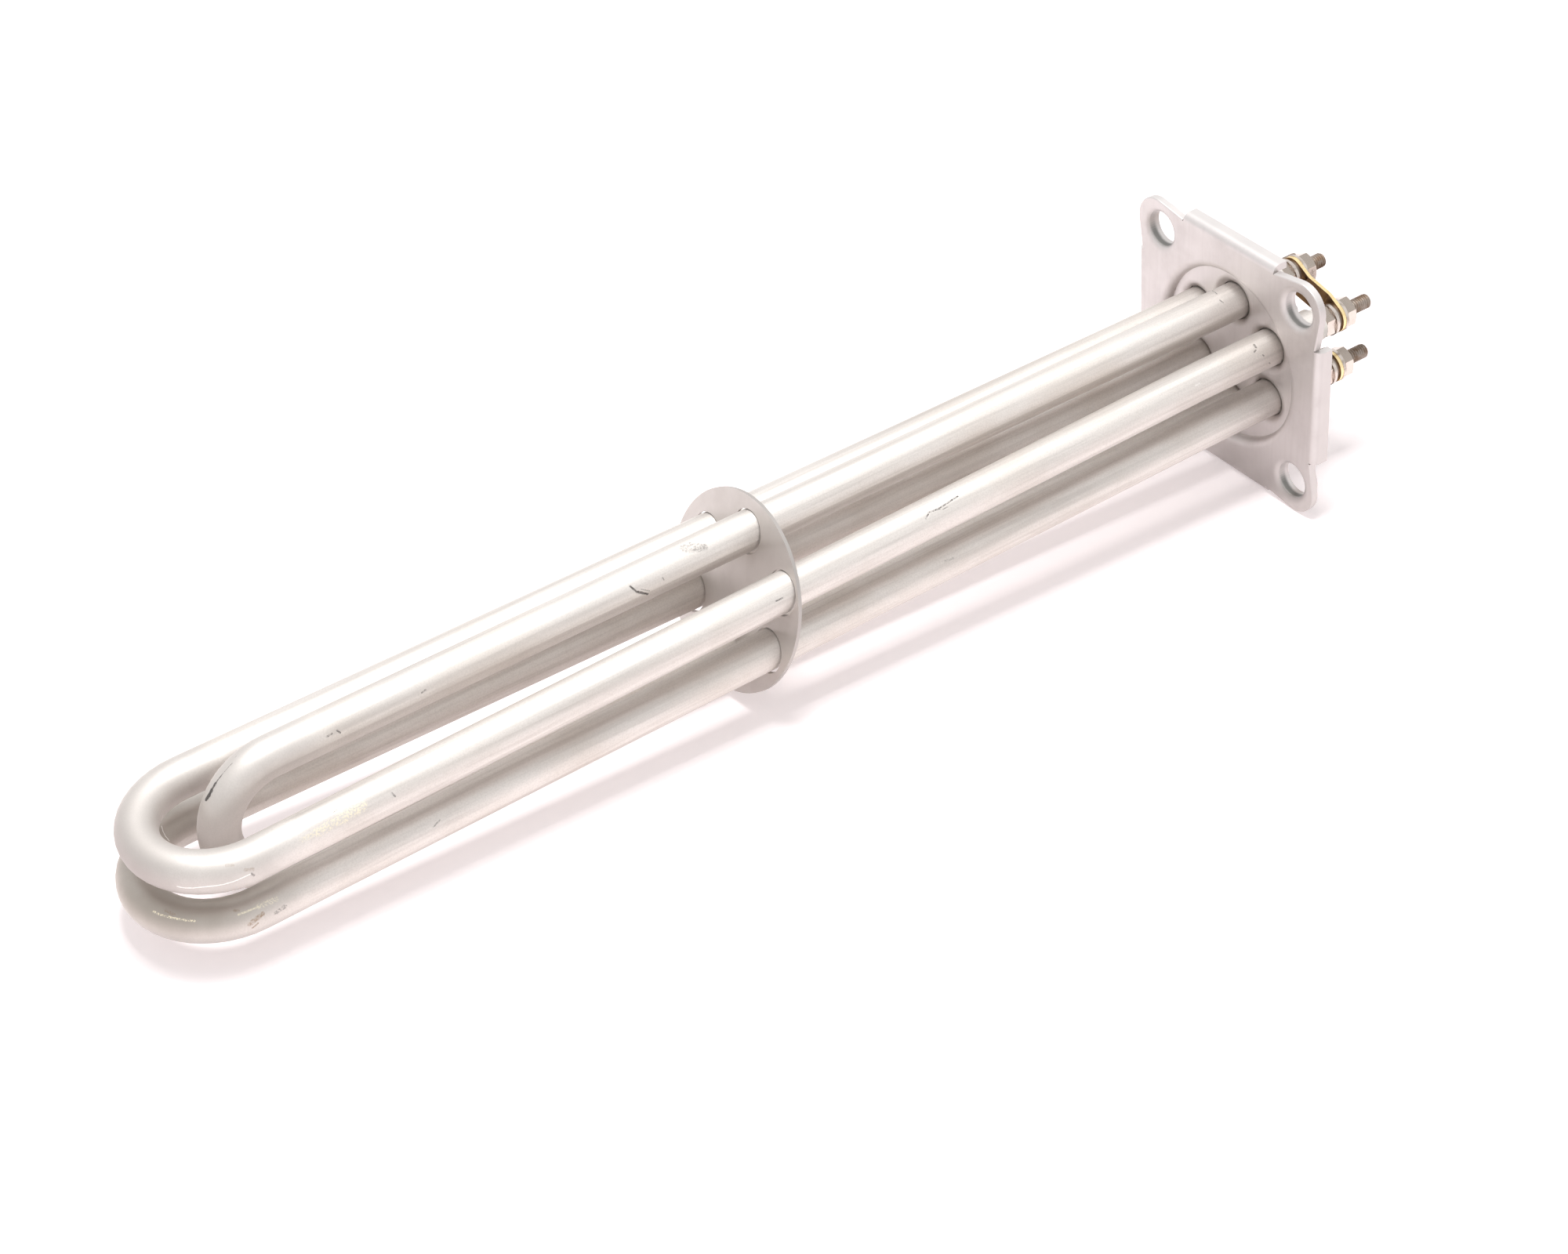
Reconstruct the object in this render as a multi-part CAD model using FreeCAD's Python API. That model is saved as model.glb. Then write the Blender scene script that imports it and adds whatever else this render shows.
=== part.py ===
import FreeCAD, Part
import math
import os
from FreeCAD import Vector

# Tubular heating element: three hairpin tubes brazed through a pressed square flange.
# Frame: origin at the centre of the flange's front face, +X along the tubes towards the bends,
# +Z up, +Y to the right for someone who looks at the front face. Millimetres.

# Tubes
tube_d = 10.0
sheath_wall = 0.8
leg_circle_r = 15.75      # circle that the six tube legs stand on at the flange
sheath_back = 17.4        # how far the sheaths reach behind the flange's front face
lean_start = 22.6         # legs run square to the flange up to here, then lean outwards
lean_radius = 200.0

# Hairpins: distance of the outermost point of the bend, bend radius, sideways shift of the bend
upper_reach = 323.2
upper_bend_r = 17.7
upper_shift = 2.3
lower_reach = 324.6
lower_bend_r = 18.4
lower_shift = -0.5
upright_reach = 304.7

# Heater core inside each tube
coil_width = 1.4          # side of the square rod that stands for the wire coil
coil_start = 20.0         # heated length starts this far in front of the flange

# Terminal pins and what sits on them
pin_r = 2.0
pin_proud = 7.3           # how far each pin stands out of its outer nut
pin_chamfer = 0.6
bush_len = 4.4            # shows short between sheath and nut
bush_seat = 2.0           # length of each bush that sits inside its sheath
nut_across = 7.6
nut_height = 3.2
nut_ease_angle = 30.0     # slope of the eased corners at both ends of a nut
washer_r = 4.5
washer_t = 0.9
lock_washer_r = 3.8
lock_washer_t = 1.3
lock_washer_split = 0.8
pin_clear = 0.15          # radial clearance of nuts, washers and links on the pins
link_r = 4.4              # radius of the round ends of each link, half its width
link_t = 1.0
stack_ahead = {"2": 1.9}  # legs with a shorter bush, whose stack stands this much further forward
shorter_pins = {"2": 1.9} # pins that stand less far out of their nut, and by how much

# Flange
sheet_t = 2.0
flange_half = 35.3        # centre to the outside of each folded tab
tab_half = 17.3
tab_depth = 4.5
fold_r = 2.2              # outside radius of the tab folds
tab_relief = 0.4          # slit between the end of a tab and the corner beside it
corner_reach = 35.0       # centre to the edge of each rounded corner
corner_r = 7.2
corner_start = 33.5       # where a corner's straight flank starts, beside a tab
corner_edge_r = 0.35
bolt_pitch = 53.0
bolt_hole_r = 5.0
bolt_dish = (2.6, 46.0)   # every hole is dished in front: radius and steepest slope of the dish
bolt_collar_wall = 1.3
bolt_collar_len = 2.0
recess_r = 24.2
recess_depth = 2.4
shoulder_r = 2.6
tube_gap = 0.3            # open gap round each tube in front of its neck
tube_gap_depth = 2.2
tube_collar_wall = 1.2
tube_collar_len = 2.0
tube_dish = (3.1, 46.0)

# Spacer disc
disc_r = 25.5
disc_t = 1.0
disc_x = 157.7
disc_tilt = 16.6          # its top leans towards the flange
disc_yaw = 0.6            # and its left side, seen from the bends, towards the viewer
disc_shift = (-0.5, -0.3) # its centre stands off the tubes' middle by this much along Y and Z
disc_hole_clear = 0.5
disc_sag = 0.2            # the disc hangs on the tubes, low in its clearance

# Sizes worked out from those above
tube_r = tube_d / 2
bore_r = tube_r - sheath_wall
slot_r = pin_r + pin_clear
fold_line = flange_half - fold_r
corner_c = corner_reach - corner_r
tab_end = tab_half + tab_relief
floor_front = -recess_depth
bush_front = -sheath_back + bush_seat
bush_back = bush_front - bush_len
inner_nut_back = bush_back - nut_height
inner_washer_back = inner_nut_back - washer_t
lock_washer_back = inner_washer_back - lock_washer_t
link_back = lock_washer_back - link_t
outer_washer_back = link_back - washer_t
outer_nut_back = outer_washer_back - nut_height
pin_back = outer_nut_back - pin_proud
ALONG = Vector(1, 0, 0)
quarters = ((1, 1), (-1, 1), (-1, -1), (1, -1))

# Legs round the circle, each at its angle from +Y towards +Z
leg_angles = {"1": 150, "2": 90, "3": 30, "4": -30, "5": 210, "6": 270}
linked_legs = [("2", "3"), ("4", "6"), ("1", "5")]


def leg_point(leg, x):
    """Point on a leg's axis where it runs square to the flange."""
    angle = math.radians(leg_angles[leg])
    return Vector(x, leg_circle_r * math.cos(angle), leg_circle_r * math.sin(angle))


def rod(start, end, radius):
    """Round bar between two points."""
    run = end - start
    return Part.makeCylinder(radius, run.Length, start, run)


def on_leg(leg, front, back, radius):
    """Round bar along a leg's axis, from one distance to another."""
    return rod(leg_point(leg, back), leg_point(leg, front), radius)


def outline(points):
    """Closed wire in the XY plane; a point of four numbers ends an arc through its first two."""
    edges = []
    last = Vector(*points[0][-2:], 0)
    for point in points[1:] + points[:1]:
        here = Vector(*point[-2:], 0)
        if len(point) == 4:
            edges.append(Part.Arc(last, Vector(*point[:2], 0), here).toShape())
        elif (here - last).Length > 1e-9:
            edges.append(Part.makeLine(last, here))
        last = here
    return Part.Wire(edges)


def turned(profile, y=0, z=0):
    """Solid of revolution about a line along X; the profile's points are (x, radius)."""
    solid = Part.Face(outline(profile)).revolve(Vector(), ALONG, 360)
    solid.translate(Vector(0, y, z))
    return solid


def on_arc(centre_x, centre_r, radius, angle):
    """Point (x, radius) of a profile's arc, its angle in degrees from +X."""
    angle = math.radians(angle)
    return (centre_x + radius * math.cos(angle), centre_r + radius * math.sin(angle))


def round_section(radius, point, tangent, normal):
    """Round face across a path."""
    return Part.Face(Part.Wire(Part.makeCircle(radius, point, tangent)))


def square_section(half, point, tangent, normal):
    """Square face across a path, with two sides along the bend plane's normal."""
    side = tangent.cross(normal).normalize()
    corners = [point + side * (a * half) + normal * (b * half) for a, b in quarters]
    return Part.Face(Part.makePolygon(corners + corners[:1]))


class Hairpin:
    """Centre line of a hairpin tube: two legs and a bend, all in one plane."""

    def __init__(self, legs, reach, bend_r, shift):
        self.legs = legs
        first, second = leg_point(legs[0], 0), leg_point(legs[1], 0)
        self.side = (first - second).normalize()
        self.normal = ALONG.cross(self.side)
        middle = (first + second) * 0.5
        self.centre = middle + ALONG * (reach - tube_r - bend_r) + Vector(0, shift, 0)
        self.bend_r = bend_r

    def leg_run(self, leg, sign):
        """Where a leg starts to lean, its lean angle and where it meets the bend."""
        corner = leg_point(leg, lean_start)
        to_centre = self.centre - corner
        distance = to_centre.Length
        heading = math.atan2(sign * to_centre.dot(self.side), to_centre.x)
        lean = heading + math.asin(self.bend_r / distance)
        run = math.sqrt(distance ** 2 - self.bend_r ** 2)
        direction = ALONG * math.cos(lean) + self.side * (sign * math.sin(lean))
        return corner, lean, direction, corner + direction * run

    def solid(self, make_section, size, starts):
        """Bar of one section along the centre line, from one x on each leg round to the other."""
        pieces = []
        turn = math.pi
        for leg, sign, start in zip(self.legs, (1, -1), starts):
            corner, lean, direction, tangent_point = self.leg_run(leg, sign)
            turn += lean
            cut_back = abs(lean_radius * math.tan(lean / 2))
            straight_start = corner + direction * cut_back
            if start < lean_start - cut_back:
                square_start = leg_point(leg, start)
                square_end = corner - ALONG * cut_back
                face = make_section(size, square_start, ALONG, self.normal)
                pieces.append(face.extrude(square_end - square_start))
                if cut_back > 1e-6:
                    hub = square_end + self.side * (sign * math.copysign(lean_radius, lean))
                    face = make_section(size, square_end, ALONG, self.normal)
                    pieces.append(face.revolve(hub, self.normal, sign * math.degrees(lean)))
            else:
                straight_start = corner + direction * ((start - lean_start) / direction.x)
            face = make_section(size, straight_start, direction, self.normal)
            pieces.append(face.extrude(tangent_point - straight_start))
            if sign > 0:
                bend_start, bend_direction = tangent_point, direction
        face = make_section(size, bend_start, bend_direction, self.normal)
        pieces.append(face.revolve(self.centre, self.normal, -math.degrees(turn)))
        return pieces[0].multiFuse(pieces[1:]).removeSplitter()


hairpins = {
    "upper": Hairpin(("3", "1"), upper_reach, upper_bend_r, upper_shift),
    "lower": Hairpin(("4", "5"), lower_reach, lower_bend_r, lower_shift),
    "upright": Hairpin(("2", "6"), upright_reach, leg_circle_r, 0),
}


def sheath(hairpin):
    """Steel tube, open at both ends."""
    ends = (-sheath_back, -sheath_back)
    return hairpin.solid(round_section, tube_r, ends).cut(hairpin.solid(round_section, bore_r, ends))


def coil(hairpin):
    """Square rod in the place of the wire coil, between the two pins."""
    return hairpin.solid(square_section, coil_width / 2, (coil_start, coil_start))


def filling(hairpin):
    """Packed powder round the coil and the pins, up to the two bushes."""
    body = hairpin.solid(round_section, bore_r, (bush_front, bush_front)).cut(coil(hairpin))
    for leg in hairpin.legs:
        body = body.cut(pin(leg))
    return body


def pin(leg):
    """Terminal pin: a cold conductor whose outer end carries the thread."""
    back = pin_back + stack_ahead.get(leg, 0) + shorter_pins.get(leg, 0)
    tip = leg_point(leg, back)
    shank = on_leg(leg, coil_start, back + pin_chamfer, pin_r)
    point = Part.makeCone(pin_r - pin_chamfer, pin_r, pin_chamfer, tip, ALONG)
    return shank.fuse(point).removeSplitter()


def bush(leg):
    """Insulating bead round the pin, seated in the end of the sheath."""
    back = bush_back + stack_ahead.get(leg, 0)
    return on_leg(leg, bush_front, back, bore_r).cut(on_leg(leg, bush_front, back, pin_r))


def stacked(piece, *measures):
    """The same piece of the stack on every pin, moved forward where the whole stack is."""
    pieces = []
    for leg in leg_angles:
        shape = piece(leg, *measures)
        shape.translate(ALONG * stack_ahead.get(leg, 0))
        pieces.append(shape)
    return Part.makeCompound(pieces)


def ring(leg, front, back, outer_r):
    """Flat washer on a pin."""
    return on_leg(leg, front, back, outer_r).cut(on_leg(leg, front, back, slot_r))


def lock_washer(leg):
    """Split washer on a pin, with its gap towards the axis of the element."""
    washer = ring(leg, inner_washer_back, lock_washer_back, lock_washer_r)
    gap = Part.makeBox(lock_washer_t, lock_washer_r, lock_washer_split)
    gap.translate(Vector(lock_washer_back, -leg_circle_r, -lock_washer_split / 2))
    gap.rotate(Vector(), ALONG, leg_angles[leg] - 180)
    return washer.cut(gap)


def nut(leg, front):
    """Hexagon nut on a pin, one flat facing away from the axis of the element."""
    centre = leg_point(leg, front - nut_height)
    point_r = nut_across / math.sqrt(3)
    corners = []
    for i in range(7):
        angle = math.radians(leg_angles[leg] + 60 * i)
        corners.append(centre + Vector(0, point_r * math.cos(angle), point_r * math.sin(angle)))
    blank = Part.Face(Part.makePolygon(corners)).extrude(ALONG * nut_height)
    flat_r = nut_across / 2
    ease = (point_r - flat_r) * math.tan(math.radians(nut_ease_angle))
    eased = turned([
        (0, 0), (0, flat_r), (ease, point_r),
        (nut_height - ease, point_r), (nut_height, flat_r), (nut_height, 0),
    ])
    eased.translate(centre)
    return blank.common(eased).cut(on_leg(leg, front, front - nut_height, slot_r))


def link(pair):
    """Round-ended strap that joins two pins, with a jog where one stack stands further forward."""
    a, b = (leg_point(leg, link_back + stack_ahead.get(leg, 0)) for leg in pair)
    pitch = math.hypot(b.y - a.y, b.z - a.z)
    side = [(0, 0), (0, washer_r), (b.x - a.x, pitch - washer_r), (b.x - a.x, pitch)]
    section = outline(side + [(x + link_t, y) for x, y in reversed(side)])
    strap = Part.Face(section).extrude(Vector(0, 0, 2 * link_r))
    strap.translate(Vector(0, 0, -link_r))
    strap.rotate(Vector(), ALONG, math.degrees(math.atan2(b.z - a.z, b.y - a.y)))
    strap.translate(a)
    for leg, centre in zip(pair, (a, b)):
        strap = strap.fuse(on_leg(leg, centre.x + link_t, centre.x, link_r))
    strap = strap.removeSplitter()
    for leg, centre in zip(pair, (a, b)):
        strap = strap.cut(on_leg(leg, centre.x + link_t, centre.x, slot_r))
    return strap


def corner_outline(turn):
    """Outline between two tabs: a straight flank, the round corner and the other flank."""
    along = tab_end - corner_c
    out = corner_start - corner_c
    angle = math.atan2(out, along) - math.acos(corner_r / math.hypot(along, out))
    touch = (corner_c + corner_r * math.cos(angle), corner_c + corner_r * math.sin(angle))
    tip = corner_c + corner_r * math.sqrt(0.5)
    points = [
        (tab_end, fold_line), (tab_end, corner_start), touch,
        (tip, tip, touch[1], touch[0]), (corner_start, tab_end), (fold_line, tab_end),
    ]
    for _ in range(turn):
        points = [sum(((p[i + 1], -p[i]) for i in range(0, len(p), 2)), ()) for p in points]
    return points


def flat_plate():
    """Flat part of the flange inside its fold lines, the front rims of its corners eased."""
    points = [point for turn in range(4) for point in corner_outline(turn)]
    plate = Part.Face(outline(points)).extrude(Vector(0, 0, sheet_t))
    plate.translate(Vector(0, 0, -sheet_t))
    rims = [edge for edge in plate.Edges
            if edge.BoundBox.ZMin > -sheet_t / 2
            and max(abs(edge.CenterOfMass.x), abs(edge.CenterOfMass.y)) > corner_start]
    plate = plate.makeFillet(corner_edge_r, rims)
    plate.rotate(Vector(), Vector(1, 1, 1), 120)
    return plate


def folded_tab():
    """Tab folded back along one side of the flange, from its fold line outwards."""
    inner_r = fold_r - sheet_t
    hub_x, hub_y = -fold_r, fold_line
    outside = on_arc(hub_x, hub_y, fold_r, 45)
    inside = on_arc(hub_x, hub_y, inner_r, 45)
    section = outline([
        (-sheet_t, hub_y), (0, hub_y), (*outside, hub_x, flange_half), (-tab_depth, flange_half),
        (-tab_depth, flange_half - sheet_t), (hub_x, flange_half - sheet_t), (*inside, -sheet_t, hub_y),
    ])
    tab = Part.Face(section).extrude(Vector(0, 0, 2 * tab_half))
    tab.translate(Vector(0, 0, -tab_half))
    return tab


def collar(front, length, hole_r, wall, y, z):
    """Short neck drawn back round a hole."""
    return Part.makeCylinder(hole_r + wall, sheet_t + length, Vector(front - sheet_t - length, y, z), ALONG)


def mouth(front, hole_r, gap, dish, y, z):
    """What a dished hole takes away: its bore, an open gap round a tube, and the dish in front."""
    dish_r, dish_slope = dish
    edge_r = hole_r + gap
    start_r = edge_r + dish_r * math.sin(math.radians(dish_slope))
    middle = on_arc(front - dish_r, start_r, dish_r, -dish_slope / 2)
    end = on_arc(front - dish_r, start_r, dish_r, -dish_slope)
    depth = 4 * sheet_t
    proud = sheet_t / 10
    return turned([
        (front - depth, 0), (front + proud, 0), (front + proud, start_r), (front, start_r),
        (*middle, *end), (front - tube_gap_depth, edge_r), (front - tube_gap_depth, hole_r),
        (front - depth, hole_r),
    ], y, z)


def recess_dish():
    """Middle of the flange: a rounded shoulder, then the flat floor that the tubes pass through."""
    drop = math.degrees(math.acos(1 - recess_depth / shoulder_r))
    start_r = recess_r + shoulder_r * math.sin(math.radians(drop))
    inner_r = shoulder_r - sheet_t
    front_end = on_arc(-shoulder_r, start_r, shoulder_r, -drop)
    front_mid = on_arc(-shoulder_r, start_r, shoulder_r, -drop / 2)
    back_end = on_arc(-shoulder_r, start_r, inner_r, -drop)
    back_mid = on_arc(-shoulder_r, start_r, inner_r, -drop / 2)
    floor_back = floor_front - sheet_t
    slope_run = (back_end[0] - floor_back) / math.tan(math.radians(drop))
    profile = [
        (floor_back, 0), (floor_front, 0), front_end, (*front_mid, 0, start_r), (-sheet_t, start_r),
        (*back_mid, *back_end), (floor_back, back_end[1] - slope_run),
    ]
    return turned(profile), start_r


def flange():
    """Pressed square flange with folded tabs, corner holes and a recessed middle."""
    bolts = [(a * bolt_pitch / 2, b * bolt_pitch / 2) for a, b in quarters]
    tubes = [(leg_point(leg, 0).y, leg_point(leg, 0).z) for leg in leg_angles]
    recess, shoulder_start = recess_dish()
    opening = Part.makeCylinder(shoulder_start, 3 * sheet_t, Vector(-2 * sheet_t, 0, 0), ALONG)
    body = flat_plate().cut(opening)
    parts = [recess]
    for turn in range(4):
        tab = folded_tab()
        tab.rotate(Vector(), ALONG, 90 * turn)
        parts.append(tab)
    parts += [collar(0, bolt_collar_len, bolt_hole_r, bolt_collar_wall, y, z) for y, z in bolts]
    parts += [collar(floor_front, tube_collar_len, tube_r, tube_collar_wall, y, z) for y, z in tubes]
    body = body.multiFuse(parts)
    holes = [mouth(0, bolt_hole_r, 0, bolt_dish, y, z) for y, z in bolts]
    holes += [mouth(floor_front, tube_r, tube_gap, tube_dish, y, z) for y, z in tubes]
    return body.cut(Part.makeCompound(holes)).removeSplitter()


def disc():
    """Thin round spacer with six holes, standing a little askew on the tubes."""
    plate = Part.makeCylinder(disc_r, disc_t, Vector(-disc_t / 2, 0, 0), ALONG)
    plate.rotate(Vector(), Vector(0, 1, 0), -disc_tilt)
    plate.rotate(Vector(), Vector(0, 0, 1), disc_yaw)
    plate.translate(Vector(disc_x, *disc_shift))
    for hairpin in hairpins.values():
        plate = plate.cut(hairpin.solid(round_section, tube_r + disc_hole_clear, (lean_start, lean_start)))
    plate.translate(Vector(0, 0, -disc_sag))
    return plate


def main():
    """Every node's shape under its name."""
    nodes = {"mounting_flange": flange(), "spacer_disc": disc()}
    for name, hairpin in hairpins.items():
        nodes[f"sheath_{name}"] = sheath(hairpin)
        nodes[f"powder_filling_{name}"] = filling(hairpin)
        nodes[f"resistance_coil_{name}"] = coil(hairpin)
    for leg in leg_angles:
        nodes[f"terminal_pin_{leg}"] = pin(leg)
        nodes[f"insulator_bush_{leg}"] = bush(leg)
    nodes["inner_nuts"] = stacked(nut, bush_back)
    nodes["inner_washers"] = stacked(ring, inner_nut_back, inner_washer_back, washer_r)
    nodes["lock_washers"] = stacked(lock_washer)
    for pair in linked_legs:
        nodes[f"terminal_link_{pair[0]}_{pair[1]}"] = link(pair)
    nodes["outer_washers"] = stacked(ring, link_back, outer_washer_back, washer_r)
    nodes["outer_nuts"] = stacked(nut, outer_washer_back)
    os.makedirs("parts", exist_ok=True)
    for name, shape in nodes.items():
        shape.exportStep(f"parts/{name}.step")


main()
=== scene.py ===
import math
import bpy
from mathutils import Matrix, Vector
from mathutils.bvhtree import BVHTree


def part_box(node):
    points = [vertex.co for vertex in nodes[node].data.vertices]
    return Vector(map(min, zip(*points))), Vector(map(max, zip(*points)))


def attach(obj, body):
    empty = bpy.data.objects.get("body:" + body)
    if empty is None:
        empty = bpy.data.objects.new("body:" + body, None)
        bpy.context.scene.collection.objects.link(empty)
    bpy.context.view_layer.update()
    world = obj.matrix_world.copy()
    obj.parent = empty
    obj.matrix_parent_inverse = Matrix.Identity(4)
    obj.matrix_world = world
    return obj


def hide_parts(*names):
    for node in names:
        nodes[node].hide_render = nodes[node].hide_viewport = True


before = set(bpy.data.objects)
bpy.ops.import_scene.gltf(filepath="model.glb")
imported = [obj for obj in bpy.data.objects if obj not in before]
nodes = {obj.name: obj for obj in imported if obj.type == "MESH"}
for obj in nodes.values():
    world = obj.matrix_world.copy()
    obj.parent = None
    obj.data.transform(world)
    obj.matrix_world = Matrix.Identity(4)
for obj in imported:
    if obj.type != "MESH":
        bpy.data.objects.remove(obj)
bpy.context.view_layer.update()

# Tubular heating element: three hairpin tubes brazed through a pressed square flange.
# Metres, in the frame of the solids: +X along the tubes towards the bends, +Z up.

MM = 0.001
LEGS = "123456"
TUBES = ("sheath_upper", "sheath_lower", "sheath_upright")
BOLT_PITCH = 53 * MM
BOLT_BORE_R = 5 * MM
MIDDLE = (0.15, 0.0, 0.0)  # on the axis, near the middle of the element
ACROSS = (0, 1, 1)  # keeps a place's distance from the axis and drops how far along it is

# The photograph's camera; its picture is taken to be 2000 by 1600
PHOTO_SIZE = (2000, 1600)
SENSOR = 36.0  # millimetres wide, as Blender takes it
LENS = 74.31  # millimetres
NEAREST = 10 * MM
CAMERA_AT = Vector((0.4884, 0.5336, 0.4776))
CAMERA_AIM = Vector((0.15216, 0.01126, -0.00769))
CAMERA_ROLL = math.radians(4.51)


def added(name, data):
    """New object in the scene."""
    obj = bpy.data.objects.new(name, data)
    bpy.context.scene.collection.objects.link(obj)
    return obj


def aimed(place, aim):
    """Matrix of a camera or lamp that stands at one point and faces another."""
    turn = (Vector(aim) - Vector(place)).to_track_quat("-Z", "Y").to_matrix().to_4x4()
    return Matrix.Translation(Vector(place)) @ turn


def camera():
    """Camera at the photograph's viewing point."""
    data = bpy.data.cameras.new("camera")
    data.sensor_width = SENSOR
    data.lens = LENS
    data.clip_start = NEAREST
    obj = added("camera", data)
    obj.matrix_world = aimed(CAMERA_AT, CAMERA_AIM) @ Matrix.Rotation(-CAMERA_ROLL, 4, "Z")
    bpy.context.scene.camera = obj
    return obj


view = camera()


# Shader helpers

# Sockets of the Mix node that carry colours: its factor, its two colours and its result
MIX_FACTOR, MIX_A, MIX_B, MIX_RESULT = 0, 6, 7, 2


class Tree:
    """Node tree of a material or world, with short calls to add and join its nodes."""

    def __init__(self, owner, output="OutputMaterial"):
        self.owner = owner
        self.owner.use_nodes = True
        self.tree = self.owner.node_tree
        self.tree.nodes.clear()
        self.output = self.add(output)

    def add(self, kind, settings=None, **inputs):
        """New node; settings are its own options, and inputs are values or links by socket name."""
        node = self.tree.nodes.new("ShaderNode" + kind)
        for key, value in (settings or {}).items():
            setattr(node, key, value)
        for key, value in inputs.items():
            self.join(node, key.replace("_", " "), value)
        return node

    def join(self, node, key, value):
        """Links a socket to an input, or sets the input's value; a plain colour gets its alpha."""
        socket = node.inputs[key]
        if isinstance(value, bpy.types.NodeSocket):
            self.tree.links.new(value, socket)
        elif socket.type == "RGBA":
            socket.default_value = (*value, 1.0)
        else:
            socket.default_value = value

    def math(self, operation, a, b=0.0, clamp=False):
        """Result of a sum, product or other operation on one or two numbers."""
        node = self.add("Math", {"operation": operation, "use_clamp": clamp})
        self.join(node, 0, a)
        self.join(node, 1, b)
        return node.outputs[0]

    def plus(self, value, other, weight):
        """A value plus another one times its weight."""
        return self.math("ADD", value, self.math("MULTIPLY", other, weight))

    def vector(self, operation, a, b=(0, 0, 0)):
        """Result of a vector operation: a number for a product or distance, else a vector."""
        node = self.add("VectorMath", {"operation": operation})
        self.join(node, 0, a)
        self.join(node, 1, b)
        return node.outputs["Value" if operation in ("DOT_PRODUCT", "DISTANCE") else "Vector"]

    def axis(self, vector, letter):
        """One of a vector's three numbers."""
        return self.add("SeparateXYZ", Vector=vector).outputs[letter]

    def place(self):
        """Position in the part's frame, in metres."""
        return self.add("TexCoord").outputs["Object"]

    def normal(self):
        """Direction that a face looks in, without smoothing."""
        return self.add("NewGeometry").outputs["True Normal"]

    def facing(self, letter):
        """How squarely a face lies across an axis, from 0 to 1."""
        return self.math("ABSOLUTE", self.axis(self.normal(), letter))

    def ray(self, *kinds):
        """1 for rays of the named kinds, 0 for the others."""
        rays = self.add("LightPath").outputs
        found = 0.0
        for kind in kinds:
            found = self.math("MAXIMUM", found, rays[f"Is {kind} Ray"])
        return found

    def noise(self, scale, detail, rough):
        """Noise over the part, from 0 to 1; a scale for each axis stretches it."""
        place = self.place()
        if isinstance(scale, tuple):
            place = self.add("Mapping", Vector=place, Scale=scale).outputs[0]
            scale = 1.0
        return self.add("TexNoise", Vector=place, Scale=scale, Detail=detail, Roughness=rough).outputs[0]

    def span(self, value, low, high, to_low=0.0, to_high=1.0):
        """Maps one range to another, clamped, with soft ends."""
        limits = {"From_Min": low, "From_Max": high, "To_Min": to_low, "To_Max": to_high}
        return self.add("MapRange", {"interpolation_type": "SMOOTHSTEP"}, Value=value, **limits).outputs[0]

    def mix(self, factor, a, b):
        """Colour between two colours."""
        node = self.add("Mix", {"data_type": "RGBA"})
        self.join(node, MIX_FACTOR, factor)
        self.join(node, MIX_A, a)
        self.join(node, MIX_B, b)
        return node.outputs[MIX_RESULT]

    def tint(self, color, other, value, start, full, most=1.0):
        """Mixes another colour in, from none where a value is at its start to the most where it is full."""
        return self.mix(self.span(value, start, full, 0.0, most), color, other)

    def bump(self, height, depth, strength, under=None):
        """Normal of fine relief, which may lie over another one."""
        node = self.add("Bump", Height=height, Distance=depth, Strength=strength)
        if under is not None:
            self.join(node, "Normal", under)
        return node.outputs[0]

    def surface(self, color, rough, metal, normal):
        """Finishes a material with a principled surface."""
        shader = self.add("BsdfPrincipled", Base_Color=color, Roughness=rough, Metallic=metal, Normal=normal)
        self.join(self.output, "Surface", shader.outputs[0])
        return self.owner


def new_material(name):
    """Empty node tree of a new material."""
    return Tree(bpy.data.materials.new(name))


# Reading places off the photograph

def photo_ray(px, py):
    """Direction from the camera through a pixel of the photograph."""
    half = SENSOR / 2 / LENS
    across = (px / PHOTO_SIZE[0] * 2 - 1) * half
    up = (1 - py / PHOTO_SIZE[1] * 2) * half * PHOTO_SIZE[1] / PHOTO_SIZE[0]
    return (view.matrix_world.to_3x3() @ Vector((across, up, -1))).normalized()


def search_tree(name):
    """Search tree over the shown surface of one solid."""
    mesh = nodes[name].data
    points = [vertex.co.copy() for vertex in mesh.vertices]
    return BVHTree.FromPolygons(points, [list(face.vertices) for face in mesh.polygons])


search_trees = {tube: search_tree(tube) for tube in TUBES}


def seen(px, py):
    """Name of the tube that a pixel of the photograph shows, and the point on it."""
    hits = []
    for tube, tree in search_trees.items():
        point, _, _, distance = tree.ray_cast(CAMERA_AT, photo_ray(px, py))
        if point is not None:
            hits.append((distance, tube, point))
    if not hits:
        raise ValueError(f"no tube at pixel {px}, {py}")
    _, tube, point = min(hits)
    return tube, point


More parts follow.
